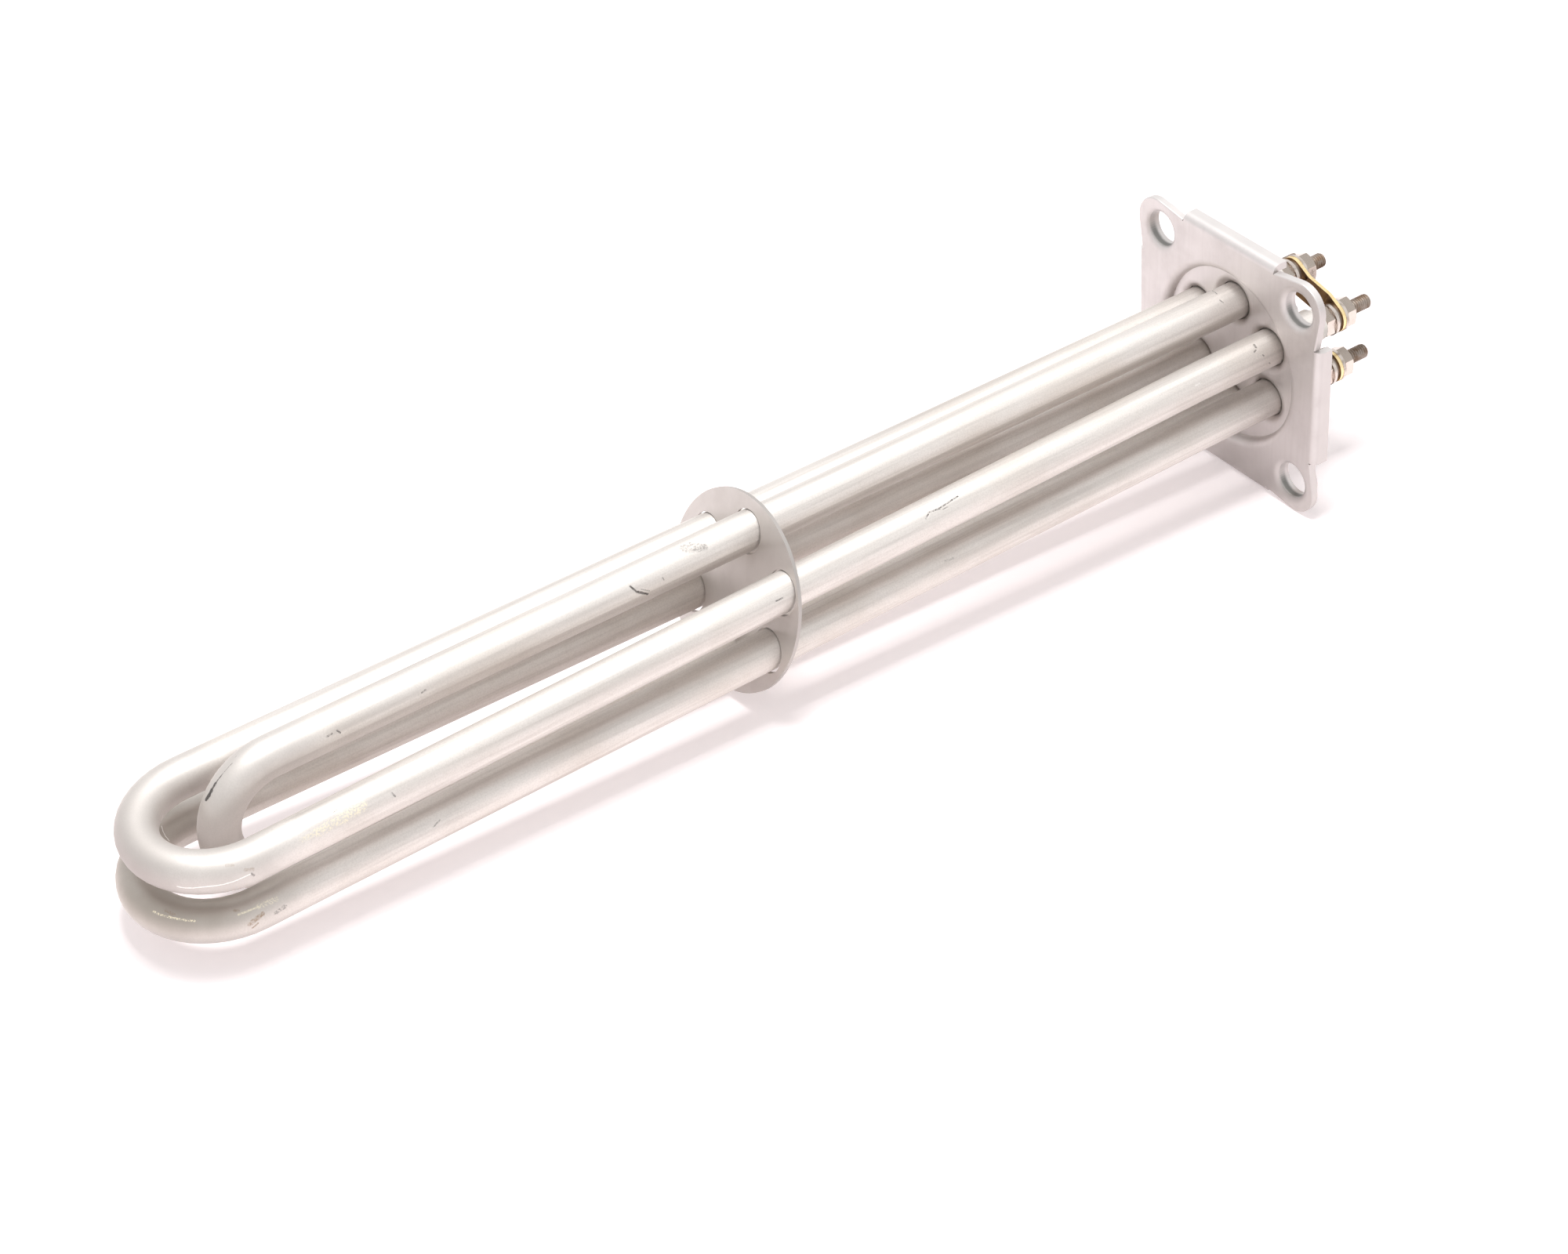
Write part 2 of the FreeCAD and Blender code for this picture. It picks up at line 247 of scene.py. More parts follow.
# Marks on the tubes. Each has the photograph's pixels that it runs through, its half width in mm,
# its strength and how broken it is. A mark over a bend has pixels close enough to follow it.
SCRATCHES_AND_CREASE_SHADE = [
    # Rows of specks between the disc and the flange
    ([(1181, 662), (1184, 656)], 0.26, 0.8, 0.75),
    ([(1184, 654), (1199, 649)], 0.3, 0.85, 0.75),
    ([(1196, 650), (1222, 633)], 0.26, 0.9, 0.65),
    ([(1203, 650), (1208, 647)], 0.18, 0.7, 0.5),
    ([(1205, 716), (1216, 712)], 0.3, 0.4, 0.8),
    # Curved cut on the upright tube, with a tick beside it
    ([(804, 748), (812, 755)], 0.34, 0.9, 0.2),
    ([(812, 755), (826, 758)], 0.4, 0.92, 0.2),
    ([(818, 752), (828, 754)], 0.2, 0.6, 0.6),
    ([(845, 737), (847, 740)], 0.2, 0.6, 0.4),
    # Smudge on the upright tube, with two darker strokes
    ([(873, 700), (896, 697)], 1.6, 0.5, 0.5),
    ([(880, 693), (893, 703)], 0.45, 0.55, 0.7),
    ([(884, 702), (898, 700)], 0.4, 0.6, 0.5),
    # Nick on the upper tube beside the disc
    ([(990, 767), (998, 763)], 0.25, 0.75, 0.4),
    # Specks on the legs of all three tubes, near the bends
    ([(417, 940), (423, 936)], 0.35, 0.7, 0.8),
    ([(430, 932), (434, 935)], 0.3, 0.7, 0.6),
    ([(538, 884), (543, 880)], 0.25, 0.6, 0.6),
    ([(553, 1055), (561, 1046)], 0.25, 0.5, 0.6),
    ([(500, 1012), (504, 1016)], 0.3, 0.6, 0.6),
    ([(425, 1037), (431, 1032)], 0.25, 0.5, 0.5),
    # Crease on the upright bend with painted shade in it, thinner towards its upper leg
    ([(263, 1020), (267, 1014), (270, 1008)], 0.6, 0.97, 0.1),
    ([(270, 1008), (275, 999)], 0.42, 0.95, 0.2),
    ([(275, 999), (282, 990)], 0.2, 0.85, 0.4),
    ([(282, 990), (296, 974)], 0.15, 0.7, 0.6),
    ([(300, 966), (340, 939)], 0.14, 0.3, 0.5),
    # Spots where the lower and upper bends begin
    ([(352, 1165), (364, 1156)], 0.6, 0.5, 0.9),
    ([(321, 1115), (324, 1117)], 0.35, 0.6, 0.3),
    # Specks near the flange
    ([(1600, 440), (1602, 443)], 0.4, 0.7, 0.2),
    ([(1602, 447), (1600, 449)], 0.3, 0.6, 0.2),
    ([(1611, 453), (1612, 454)], 0.3, 0.55, 0.3),
    ([(1619, 463), (1620, 464)], 0.25, 0.45, 0.3),
    ([(1546, 371), (1552, 375)], 0.25, 0.75, 0.6),
    ([(1540, 373), (1544, 372)], 0.2, 0.6, 0.6),
    ([(1556, 383), (1560, 386)], 0.25, 0.6, 0.5),
]
SPECK_AND_CREASE_HIGHLIGHTS = [
    # Light speck near the flange, and painted highlights along two creases on the upper bend
    ([(1525, 492), (1530, 489)], 0.3, 0.6, 0.8),
    ([(226, 1131), (236, 1133), (246, 1133), (256, 1132), (266, 1131),
      (276, 1130), (287, 1128), (297, 1125), (307, 1121), (320, 1115)], 0.18, 0.95, 0.15),
    ([(208, 1040), (206, 1047), (206, 1054), (208, 1061), (211, 1067), (216, 1073)], 0.15, 0.95, 0.1),
]
GOLDEN_MARKS_AND_HIGHLIGHT = [
    # Bands on the upper tube, then on the lower bend; the last, a thin line along the lower bend, is a
    # painted highlight
    ([(405, 1062), (432, 1046)], 1.3, 0.75, 1.0),
    ([(432, 1046), (462, 1028)], 1.6, 0.75, 1.0),
    ([(385, 1072), (400, 1064)], 0.8, 0.5, 1.0),
    ([(480, 1006), (500, 996)], 0.6, 0.5, 1.0),
    ([(304, 1167), (330, 1157)], 0.3, 0.7, 0.5),
    ([(330, 1157), (352, 1147)], 0.8, 0.5, 1.0),
    ([(196, 1163), (204, 1167), (211, 1169), (224, 1172), (236, 1174), (248, 1175)], 0.3, 0.95, 0.9),
]
STAINS = [
    # Spots on the lower bend, then on the upper one
    ([(319, 1179), (330, 1170)], 0.8, 0.7, 0.7),
    ([(328, 1172), (335, 1166)], 0.6, 0.8, 0.5),
    ([(322, 1184), (329, 1178)], 0.25, 0.8, 0.3),
    ([(299, 1162), (304, 1162)], 0.4, 0.5, 0.6),
    ([(211, 1162), (222, 1167)], 0.5, 0.4, 0.8),
    ([(313, 1110), (323, 1109)], 0.5, 0.4, 0.6),
    ([(289, 1104), (297, 1104)], 0.4, 0.35, 0.6),
]

# Colours as they measure under plain light
STEEL = (0.79, 0.75, 0.715)
STEEL_WARM = (0.71, 0.65, 0.595)
STEEL_STREAK = (0.52, 0.475, 0.44)
STEEL_LINE = (0.50, 0.46, 0.43)
STEEL_DARK = (0.09, 0.08, 0.075)
# Painted shade over the bends
BEND_SHADE_GREY = (0.59, 0.555, 0.53)
# Painted shade on the lower and upper bends
LOWER_BEND_SHADE = (0.46, 0.415, 0.37)
UPPER_BEND_SHADE = (0.48, 0.44, 0.42)
# Light speck near the flange, and painted highlights on two creases
SPECK_AND_HIGHLIGHT_WHITE = (0.95, 0.93, 0.90)
GOLDEN = (0.93, 0.86, 0.68)
STAIN = (0.34, 0.245, 0.17)
DISC = (0.63, 0.595, 0.57)
DISC_DULL = (0.56, 0.52, 0.495)
DISC_EDGE = (0.47, 0.44, 0.42)
DISC_LOW = (0.45, 0.415, 0.395)
FLANGE = (0.665, 0.63, 0.62)
FLANGE_DULL = (0.57, 0.53, 0.52)
# Painted highlight on the flange's rims and side faces
FLANGE_EDGE_HIGHLIGHT = (0.765, 0.73, 0.715)
FLANGE_LOW = (0.40, 0.37, 0.355)
# Painted dark reflection in the bolt holes
BORE_DARK_REFLECTION = (0.16, 0.16, 0.15)
# Painted shade round the tubes at the flange
HOLE_SHADE_COLOR = (0.30, 0.26, 0.23)
NUT = (0.71, 0.65, 0.595)
NUT_PINK = (0.73, 0.61, 0.55)
NUT_DULL = (0.40, 0.345, 0.30)
WASHER = (0.70, 0.63, 0.58)
SPRING = (0.42, 0.37, 0.33)
SPRING_DULL = (0.28, 0.24, 0.2)
STUD = (0.38, 0.33, 0.29)
STUD_RUST = (0.27, 0.19, 0.135)
BRASS = (0.88, 0.62, 0.28)
BRASS_EDGE = (0.98, 0.80, 0.46)
BRASS_DULL = (0.42, 0.26, 0.12)
BRASS_BROWN = (0.25, 0.15, 0.085)
CERAMIC = (0.80, 0.77, 0.72)
CERAMIC_DULL = (0.70, 0.66, 0.6)
POWDER = (0.85, 0.84, 0.81)
POWDER_DULL = (0.74, 0.72, 0.68)
WIRE = (0.35, 0.32, 0.30)
WIRE_DULL = (0.24, 0.22, 0.2)
FLOOR_WHITE = (0.84, 0.785, 0.79)
FLOOR_WHITE_DULL = (0.82, 0.765, 0.77)
FLOOR_GLOW_TINT = (1.0, 0.94, 0.95)
WHITE = (1.0, 1.0, 1.0)

# Noise patterns: scale to the metre, as one number or one for each axis, then detail and roughness
TUBE_BLOTCHES = (38.0, 4.0, 0.55)
TUBE_STREAKS = ((7.0, 330.0, 330.0), 2.0, 0.5)
TUBE_LINES = ((18.0, 900.0, 900.0), 3.0, 0.6)
TUBE_GRAIN = (2600.0, 3.0, 0.6)
MARK_WAVES = (1500.0, 3.0, 0.6)
MARK_HOLES = (2300.0, 3.0, 0.65)
SHEET_BLOTCHES = (70.0, 5.0, 0.6)
SHEET_GRAIN = (3200.0, 2.0, 0.6)
FLANGE_LINES = ((700.0, 700.0, 40.0), 3.0, 0.65)
DISC_LINES = ((260.0, 260.0, 120.0), 3.0, 0.65)
PLATED_PATCHES = (420.0, 5.0, 0.6)
PIN_PATCHES = (380.0, 5.0, 0.6)
SMALL_GRAIN = (5200.0, 2.0, 0.6)
BRASS_PATCHES = (260.0, 4.0, 0.6)
BRASS_LINES = ((400.0, 2400.0, 2400.0), 2.0, 0.5)
MINERAL_PATCHES = (260.0, 3.0, 0.5)
MINERAL_PORES = (4200.0, 4.0, 0.7)
FLOOR_PATCHES = (30.0, 2.0, 0.5)

# Depths of the fine relief in the materials
TUBE_RELIEF = 0.014 * MM
SCRATCH_RELIEF = 0.08 * MM
SHEET_RELIEF = 0.012 * MM
SMALL_RELIEF = 0.015 * MM
BRASS_RELIEF = 0.012 * MM
PORE_RELIEF = 0.03 * MM


# Tubes

MARK_EDGE = 1.5  # a mark fades out between its half width and this many times it
BEND_START = 36 * MM  # how far back from a bend's tip the drawing lines begin to fade
BEND_FULL = 24 * MM  # how far back from it they are gone

# Painted shade on two bends, on top of the lower one and low on the upper one's tip: colour, heights between
# which it fades in, and places along the tube
BEND_SHADE_ZONES = {
    "sheath_lower": (LOWER_BEND_SHADE, (-11 * MM, -4 * MM), (280 * MM, 308 * MM)),
    "sheath_upper": (UPPER_BEND_SHADE, (16 * MM, 7 * MM), (312 * MM, 324 * MM)),
}


def near_line(tree, place, a, b):
    """Distance from a place to the line between two points."""
    run = b - a
    from_a = tree.vector("SUBTRACT", place, tuple(a))
    along = tree.vector("DOT_PRODUCT", from_a, tuple(run))
    along = tree.math("MULTIPLY", along, 1 / run.length_squared, clamp=True)
    foot = tree.add("VectorMath", {"operation": "SCALE"}, Vector=tuple(run), Scale=along)
    return tree.vector("DISTANCE", from_a, foot.outputs[0])


def marked(tree, tube, marks):
    """Strength of some marks at a place on one tube, from 0 to 1."""
    place = tree.place()
    waves = tree.noise(*MARK_WAVES)
    holes = tree.span(tree.noise(*MARK_HOLES), low=0.44, high=0.54)
    total = 0.0
    for pixels, half_mm, strength, broken in marks:
        half_width = half_mm * MM
        whole = tree.math("SUBTRACT", 1.0, tree.math("MULTIPLY", holes, broken))
        points = [seen(*pixel) for pixel in pixels]
        for (carrier, a), (_, b) in zip(points, points[1:]):
            if carrier != tube:
                continue
            apart = tree.plus(near_line(tree, place, a, b), waves, half_width)
            mark = tree.span(apart, half_width, MARK_EDGE * half_width, strength, 0.0)
            total = tree.math("MAXIMUM", total, tree.math("MULTIPLY", mark, whole))
    return total


def tube_steel(tube):
    """Drawn tube: soft blotches, lines along the straight legs, painted shade over the bends and darker
    painted shade on parts of two of them, and marks, among them painted highlights and painted shade in a
    crease.
    """
    tree = new_material(f"{tube}_steel")
    along = tree.axis(tree.place(), "X")
    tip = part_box(tube)[1].x
    straight = tree.span(along, tip - BEND_START, tip - BEND_FULL, 1.0, 0.0)
    blotches = tree.noise(*TUBE_BLOTCHES)
    grain = tree.noise(*TUBE_GRAIN)
    streaks = tree.math("MULTIPLY", straight, tree.noise(*TUBE_STREAKS))
    lines = tree.math("MULTIPLY", straight, tree.noise(*TUBE_LINES))

    color = tree.tint(STEEL, STEEL_WARM, blotches, start=0.42, full=0.72, most=0.5)
    color = tree.tint(color, STEEL_STREAK, streaks, start=0.48, full=0.70, most=0.4)
    color = tree.tint(color, STEEL_LINE, lines, start=0.42, full=0.75, most=0.36)
    color = tree.tint(color, STEEL_LINE, grain, start=0.4, full=0.65, most=0.2)
    # Painted shade in patches over the bends
    bent = tree.math("SUBTRACT", 1.0, straight)
    dull = tree.span(blotches, low=0.3, high=0.65, to_low=0.25, to_high=0.75)
    color = tree.mix(tree.math("MULTIPLY", bent, dull), color, BEND_SHADE_GREY)
    # Painted shade on parts of the lower and upper bends
    if tube in BEND_SHADE_ZONES:
        bend_shade, heights, stretch = BEND_SHADE_ZONES[tube]
        shaded_zone = tree.span(tree.axis(tree.place(), "Z"), *heights)
        shaded_zone = tree.math("MULTIPLY", shaded_zone, tree.span(along, *stretch))
        uneven = tree.span(blotches, low=0.2, high=0.6, to_low=0.55, to_high=1.0)
        color = tree.mix(tree.math("MULTIPLY", shaded_zone, uneven), color, bend_shade)
    # Marks in their colours; the thin line along the lower bend and the lines on two creases of the upper
    # bend are painted highlights
    for marks, mark_color in ((GOLDEN_MARKS_AND_HIGHLIGHT, GOLDEN), (STAINS, STAIN), (SPECK_AND_CREASE_HIGHLIGHTS, SPECK_AND_HIGHLIGHT_WHITE)):
        color = tree.mix(marked(tree, tube, marks), color, mark_color)
    # Scratches, specks, spots and a smudge, and painted shade in the crease of the upright bend
    scratches_and_crease_shade = marked(tree, tube, SCRATCHES_AND_CREASE_SHADE)
    color = tree.mix(scratches_and_crease_shade, color, STEEL_DARK)

    rough = tree.span(blotches, low=0.3, high=0.7, to_low=0.46, to_high=0.56)
    rough = tree.plus(rough, grain, weight=0.08)
    relief = tree.plus(tree.math("MULTIPLY", lines, 0.6), grain, weight=0.4)
    normal = tree.bump(relief, TUBE_RELIEF, strength=0.6)
    normal = tree.bump(tree.math("MULTIPLY", scratches_and_crease_shade, -1.0), SCRATCH_RELIEF, strength=0.6, under=normal)
    return tree.surface(color, rough, metal=0.86, normal=normal)


# Flange and disc

# Shade low on a sheet: colour, heights between which it fades out, and its strength
FLANGE_SHADE = (FLANGE_LOW, -34 * MM, -14 * MM, 0.6)
DISC_SHADE = (DISC_LOW, -24 * MM, -6 * MM, 0.5)

# Painted dark reflection low in each bolt hole: distances from the hole's axis between which it fades out,
# and the depths behind the flange's front between which it fades in, and out again
BAND_WALL = (BOLT_BORE_R + 0.1 * MM, BOLT_BORE_R + 0.9 * MM)
BAND_START = (0.7 * MM, 1.9 * MM)
BAND_END = (2.6 * MM, 3.6 * MM)
BAND_UNEVEN = 0.8 * MM

# Painted shade round each tube where it passes through the flange: distances from the tube's axis between
# which it fades out
HOLE_SHADE_REACH = (5.1 * MM, 7.8 * MM)
HOLE_SHADE_STRENGTH = 0.62
FAR = 1.0  # more than any place on the flange is from a tube's axis


def bore_painted_reflection(tree, blotches):
    """Painted dark reflection inside the necks of the four bolt holes, strongest on their lower walls, from
    0 to 1.
    """
    place = tree.place()
    corner = tree.vector("ABSOLUTE", tree.vector("MULTIPLY", place, ACROSS))
    from_axis = tree.vector("DISTANCE", corner, (0, BOLT_PITCH / 2, BOLT_PITCH / 2))
    inside = tree.span(from_axis, *BAND_WALL, 1.0, 0.0)
    depth = tree.plus(tree.math("MULTIPLY", tree.axis(place, "X"), -1.0), blotches, BAND_UNEVEN)
    band = tree.math("MULTIPLY", tree.span(depth, *BAND_START), tree.span(depth, *BAND_END, 1.0, 0.0))
    low_side = tree.span(tree.axis(tree.normal(), "Z"), low=-0.1, high=0.7, to_low=0.15, to_high=0.85)
    return tree.math("MULTIPLY", tree.math("MULTIPLY", inside, band), low_side)


def hole_shade_ring(tree, blotches):
    """Painted shade close round the tubes, from 0 to 1."""
    across = tree.vector("MULTIPLY", tree.place(), ACROSS)
    near = FAR
    for leg in LEGS:
        low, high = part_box(f"terminal_pin_{leg}")
        centre = (low + high) / 2
        near = tree.math("MINIMUM", near, tree.vector("DISTANCE", across, (0, centre.y, centre.z)))
    uneven = tree.span(blotches, low=0.3, high=0.7, to_low=0.5, to_high=1.0)
    return tree.math("MULTIPLY", tree.span(near, *HOLE_SHADE_REACH, HOLE_SHADE_STRENGTH, 0.0), uneven)


def flange_painted_light(tree, color, blotches):
    """Colour of the flange with painted shade on its side faces, a painted dark reflection in the bolt holes
    and painted shade round the tubes.
    """
    # Painted shade on the faces that look along Y
    color = tree.tint(color, FLANGE_DULL, tree.facing("Y"), start=0.7, full=0.95, most=0.6)
    # Painted dark reflection in the bolt holes
    color = tree.mix(bore_painted_reflection(tree, blotches), color, BORE_DARK_REFLECTION)
    # Painted shade round the tubes
    return tree.mix(hole_shade_ring(tree, blotches), color, HOLE_SHADE_COLOR)


def sheet_steel(name, pale, dull, edge, shade, line_pattern, painted_light_extra=None):
    """Satin sheet: blotches and faint rolling lines, darker low down, with a painted highlight on the
    flange's rims and side faces and a darker tone on the disc's edges.
    """
    tree = new_material(name)
    blotches = tree.noise(*SHEET_BLOTCHES)
    lines = tree.noise(*line_pattern)
    grain = tree.noise(*SHEET_GRAIN)
    color = tree.tint(pale, dull, blotches, start=0.4, full=0.75, most=0.6)
    color = tree.tint(color, dull, lines, start=0.45, full=0.75, most=0.3)
    shade_color, bottom, top, strength = shade
    shaded = tree.span(tree.axis(tree.place(), "Z"), bottom, top, strength, 0.0)
    color = tree.mix(shaded, color, shade_color)
    # Another tone on faces that turn away from the front: a painted highlight on the flange, darker on the
    # disc
    at_edge = tree.span(tree.facing("X"), low=0.15, high=0.6, to_low=0.85, to_high=0.0)
    color = tree.mix(at_edge, color, edge)
    # Painted light and shade that only the flange has
    if painted_light_extra:
        color = painted_light_extra(tree, color, blotches)
    rough = tree.span(blotches, low=0.3, high=0.7, to_low=0.42, to_high=0.52)
    rough = tree.plus(rough, grain, weight=0.06)
    relief = tree.plus(tree.math("MULTIPLY", lines, 0.5), grain, weight=0.5)
    return tree.surface(color, rough, metal=0.92, normal=tree.bump(relief, SHEET_RELIEF, strength=0.5))


# Small parts

SHADED_FLATS_WAY = (0, 0.5, 0.866)  # square to the two flats of each nut that carry painted shade


def small_metal(name, pale, dull, rough, pattern=PLATED_PATCHES, metal=1.0):
    """Plated or bare small part with patchy tarnish; its roughness runs between two values."""
    tree = new_material(name)
    patches = tree.noise(*pattern)
    color = tree.tint(pale, dull, patches, start=0.4, full=0.7)
    rough = tree.span(patches, 0.35, 0.7, *rough)
    return tree.surface(color, rough, metal, tree.bump(tree.noise(*SMALL_GRAIN), SMALL_RELIEF, strength=0.5))


def nut_steel():
    """Plated nut: painted shade on two opposite flats, the upper one facing up, the others bright."""
    tree = new_material("plated_nuts")
    patches = tree.noise(*PLATED_PATCHES)
    color = tree.tint(NUT, NUT_PINK, patches, start=0.35, full=0.75)
    # Painted shade on two opposite flats, the upper one facing up
    shaded_flats = tree.math("ABSOLUTE", tree.vector("DOT_PRODUCT", tree.normal(), SHADED_FLATS_WAY))
    color = tree.tint(color, NUT_DULL, shaded_flats, start=0.75, full=0.9, most=0.9)
    rough = tree.span(patches, low=0.35, high=0.7, to_low=0.22, to_high=0.36)
    return tree.surface(color, rough, 1.0, tree.bump(tree.noise(*SMALL_GRAIN), SMALL_RELIEF, strength=0.5))


def strap_brass():
    """Brass strip: its broad faces tarnished brown, its cut edges bright."""
    tree = new_material("link_brass")
    patches = tree.noise(*BRASS_PATCHES)
    lines = tree.noise(*BRASS_LINES)
    broad = tree.span(tree.facing("X"), low=0.7, high=0.9)
    tarnish = tree.tint(BRASS_BROWN, BRASS_DULL, patches, start=0.35, full=0.7)
    edge = tree.tint(BRASS_EDGE, BRASS, lines, start=0.4, full=0.7, most=0.5)
    rough = tree.span(patches, low=0.35, high=0.7, to_low=0.26, to_high=0.42)
    relief = tree.bump(lines, BRASS_RELIEF, strength=0.5)
    return tree.surface(tree.mix(broad, edge, tarnish), rough, 1.0, relief)


def mineral(name, pale, dull, rough):
    """Unglazed ceramic or packed powder: fine pores over soft patches."""
    tree = new_material(name)
    color = tree.tint(pale, dull, tree.noise(*MINERAL_PATCHES), start=0.4, full=0.7, most=0.5)
    return tree.surface(color, rough, 0.0, tree.bump(tree.noise(*MINERAL_PORES), PORE_RELIEF, strength=0.6))


# Materials by the start of the solids' names
MATERIALS = {
    **{tube: tube_steel(tube) for tube in TUBES},
    "mounting_flange": sheet_steel(
        "flange_steel", FLANGE, FLANGE_DULL, FLANGE_EDGE_HIGHLIGHT, FLANGE_SHADE, FLANGE_LINES, flange_painted_light),
    "spacer_disc": sheet_steel("disc_steel", DISC, DISC_DULL, DISC_EDGE, DISC_SHADE, DISC_LINES),
    "powder_filling": mineral("packed_powder", POWDER, POWDER_DULL, rough=0.9),
    "resistance_coil": small_metal("resistance_wire", WIRE, WIRE_DULL, rough=(0.4, 0.55)),
    "terminal_pin": small_metal(
        "pin_steel", STUD, STUD_RUST, rough=(0.42, 0.62), pattern=PIN_PATCHES, metal=0.75),
    "insulator_bush": mineral("ceramic_bush", CERAMIC, CERAMIC_DULL, rough=0.65),
    "inner_nuts": nut_steel(),
    "inner_washers": small_metal("plated_washers", WASHER, NUT_DULL, rough=(0.22, 0.38)),
    "lock_washers": small_metal("spring_steel", SPRING, SPRING_DULL, rough=(0.32, 0.5)),
    "terminal_link": strap_brass(),
}
MATERIALS["outer_nuts"] = MATERIALS["inner_nuts"]
MATERIALS["outer_washers"] = MATERIALS["inner_washers"]


def dress(obj, material):
    """Gives an object one material."""
    obj.data.materials.clear()
    obj.data.materials.append(material)


for name, obj in nodes.items():
    kind = next(key for key in MATERIALS if name.startswith(key))
    dress(obj, MATERIALS[kind])


# Threaded pins in place of the plain ones

PITCH = 0.7 * MM
THREAD_DEPTH = 0.38 * MM
FLANK_RISE = 1.25  # steeper than a plain zigzag, so that crest and root are narrow flats
ROOT_FLAT = 0.125  # half of the extra rise, so that crest and root are equally wide
THREAD_ROWS = 10  # rings of points in each turn
PIN_SIDES = 48
TIP_ROUND = 0.7 * MM


def thread_radius(radius, x, angle, tip_x):
    """Radius of a right-hand thread at a place along and round the pin."""
    phase = (x / PITCH + angle / math.tau) % 1
    flank = abs(2 * phase - 1)
    crest = min(1.0, max(0.0, FLANK_RISE * flank - ROOT_FLAT))
    from_tip = min(x - tip_x, TIP_ROUND)
    rounded = radius - TIP_ROUND + math.sqrt(TIP_ROUND ** 2 - (TIP_ROUND - from_tip) ** 2)
    return min(radius - THREAD_DEPTH * (1 - crest), rounded)


def ring_mesh(name, rings):
    """Closed mesh of rings of points, each joined to the next."""
    sides = len(rings[0])
    points = [point for ring in rings for point in ring]
    faces = []
    for i in range(len(rings) - 1):
        for j in range(sides):
            a, b = i * sides + j, i * sides + (j + 1) % sides
            faces.append((a, b, b + sides, a + sides))
    faces.append(tuple(reversed(range(sides))))
    faces.append(tuple(len(points) - sides + j for j in range(sides)))
    mesh = bpy.data.meshes.new(name)
    mesh.from_pydata(points, [], faces)
    mesh.update()
    return added(name, mesh)


def threaded_pin(leg):
    """Pin of one leg: threaded from its tip to the inner nut, plain from there into the tube."""
    low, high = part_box(f"terminal_pin_{leg}")
    centre = (low + high) / 2
    radius = (high.z - low.z) / 2
    thread_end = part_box("inner_nuts")[1].x
    steps = round((thread_end - low.x) / PITCH * THREAD_ROWS)
    places = [low.x + (thread_end - low.x) * i / steps for i in range(steps + 1)]
    rings = []
    for x in places + [high.x]:
        ring = []
        for j in range(PIN_SIDES):
            angle = -math.tau * j / PIN_SIDES
            r = thread_radius(radius, x, angle, low.x) if x < thread_end else radius
            ring.append((x, centre.y + r * math.cos(angle), centre.z + r * math.sin(angle)))
        rings.append(ring)
    obj = ring_mesh(f"threaded_pin_{leg}", rings)
    for face in obj.data.polygons:
        face.use_smooth = len(face.vertices) == 4
    dress(obj, MATERIALS["terminal_pin"])
    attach(obj, "root")
    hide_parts(f"terminal_pin_{leg}")


for leg in LEGS:
    threaded_pin(leg)


# Floor, lamp and surroundings

FLOOR_HALF = 3.0
FLOOR_GLOW = 0.36  # glow that the camera sees near the part
FLOOR_GLOW_FAR = 1.0  # glow that it sees far off, which is plain white
FLOOR_GLOW_MIRRORED = 0.44  # glow that reflections see
FLOOR_FADE = (0.5, 1.2)  # distances from the middle between which near turns to far
FOOT_X = -2.2 * MM  # where the floor meets the flange's lower corners
TOUCH_FROM_X = 100 * MM  # the hairpin touches the floor somewhere beyond this X
LAMP_AT = (0.14, 0.0, 1.0)
LAMP_SIZE = 0.30
LAMP_POWER = 8.0
WORLD_LIGHT = 0.62  # strength of the white world as light
WORLD_SEEN = 1.0  # its strength where the camera or a reflection sees it


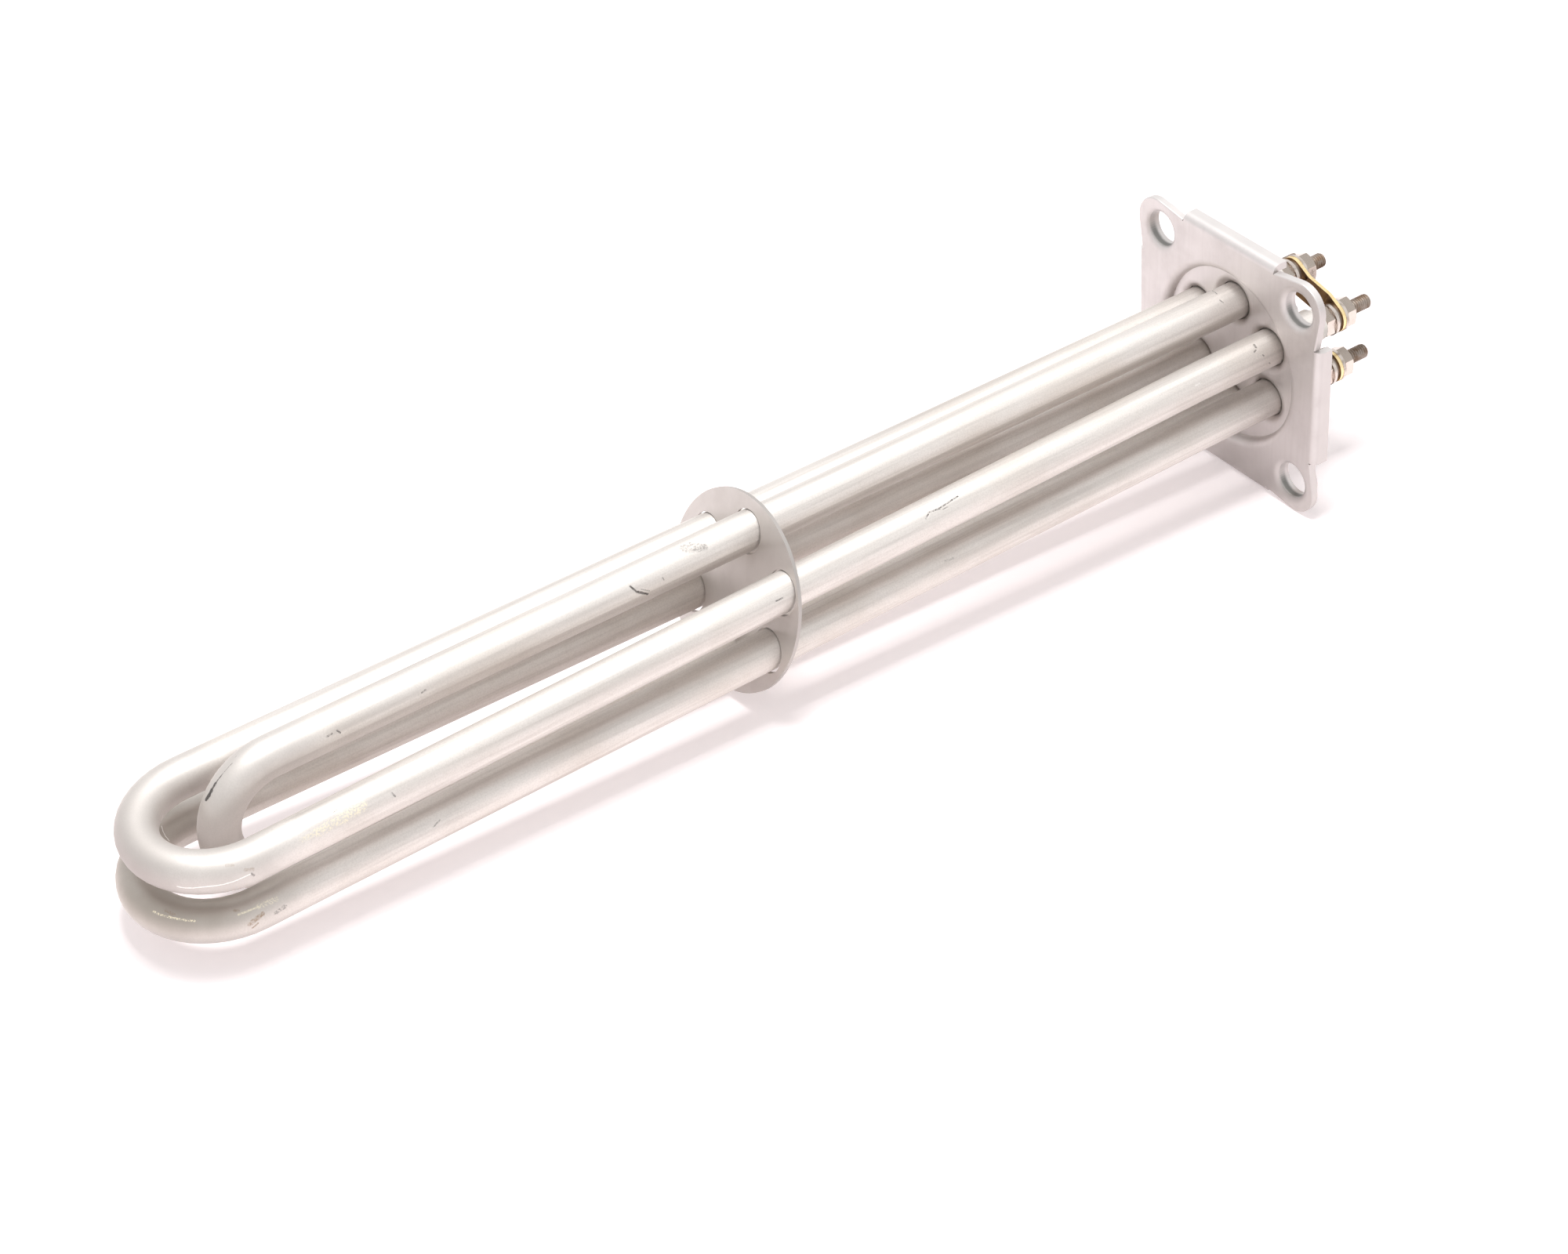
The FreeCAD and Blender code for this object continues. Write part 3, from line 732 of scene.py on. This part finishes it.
def floor_material():
    """White floor that shows near white to the camera and in reflections, and keeps a soft shadow."""
    tree = new_material("floor_white")
    away = tree.vector("DISTANCE", tree.place(), MIDDLE)
    glowing = tree.span(away, *FLOOR_FADE, FLOOR_GLOW, FLOOR_GLOW_FAR)
    shown = tree.math("MULTIPLY", tree.ray("Camera"), glowing)
    mirrored = tree.math("MULTIPLY", tree.ray("Glossy", "Transmission"), FLOOR_GLOW_MIRRORED)
    white = tree.mix(tree.noise(*FLOOR_PATCHES), FLOOR_WHITE, FLOOR_WHITE_DULL)
    matte = tree.add("BsdfDiffuse", Color=white)
    glow = tree.add("Emission", Color=FLOOR_GLOW_TINT, Strength=tree.math("MAXIMUM", shown, mirrored))
    both = tree.add("AddShader")
    tree.join(both, 0, matte.outputs[0])
    tree.join(both, 1, glow.outputs[0])
    tree.join(tree.output, "Surface", both.outputs[0])
    return tree.owner


def floor():
    """Flat floor that the flange's lower corners and the bottom of the upright hairpin rest on."""
    flange_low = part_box("mounting_flange")[0].z
    points = [vertex.co for vertex in nodes["sheath_upright"].data.vertices]
    slope = min((p.z - flange_low) / (p.x - FOOT_X) for p in points if p.x > TOUCH_FROM_X)
    corners = []
    for side_x, side_y in ((-1, -1), (1, -1), (1, 1), (-1, 1)):
        x, y = side_x * FLOOR_HALF, side_y * FLOOR_HALF
        corners.append((x, y, flange_low + (x - FOOT_X) * slope))
    mesh = bpy.data.meshes.new("floor")
    mesh.from_pydata(corners, [], [(0, 1, 2, 3)])
    obj = added("floor", mesh)
    dress(obj, floor_material())


def lamp():
    """Square soft lamp over the element."""
    data = bpy.data.lights.new("top_softbox", "AREA")
    data.shape = "SQUARE"
    data.size = LAMP_SIZE
    data.energy = LAMP_POWER
    added("top_softbox", data).matrix_world = aimed(LAMP_AT, MIDDLE)


def surroundings():
    """White surroundings: full white where the camera or a reflection sees them, dimmer as light."""
    world = bpy.data.worlds.new("surroundings")
    tree = Tree(world, "OutputWorld")
    shown = tree.ray("Camera", "Glossy", "Transmission")
    strength = tree.add("MapRange", Value=shown, To_Min=WORLD_LIGHT, To_Max=WORLD_SEEN)
    background = tree.add("Background", Color=WHITE, Strength=strength.outputs[0])
    tree.join(tree.output, "Surface", background.outputs[0])
    bpy.context.scene.world = world


floor()
surroundings()
lamp()
bpy.context.scene.view_settings.view_transform = "Standard"
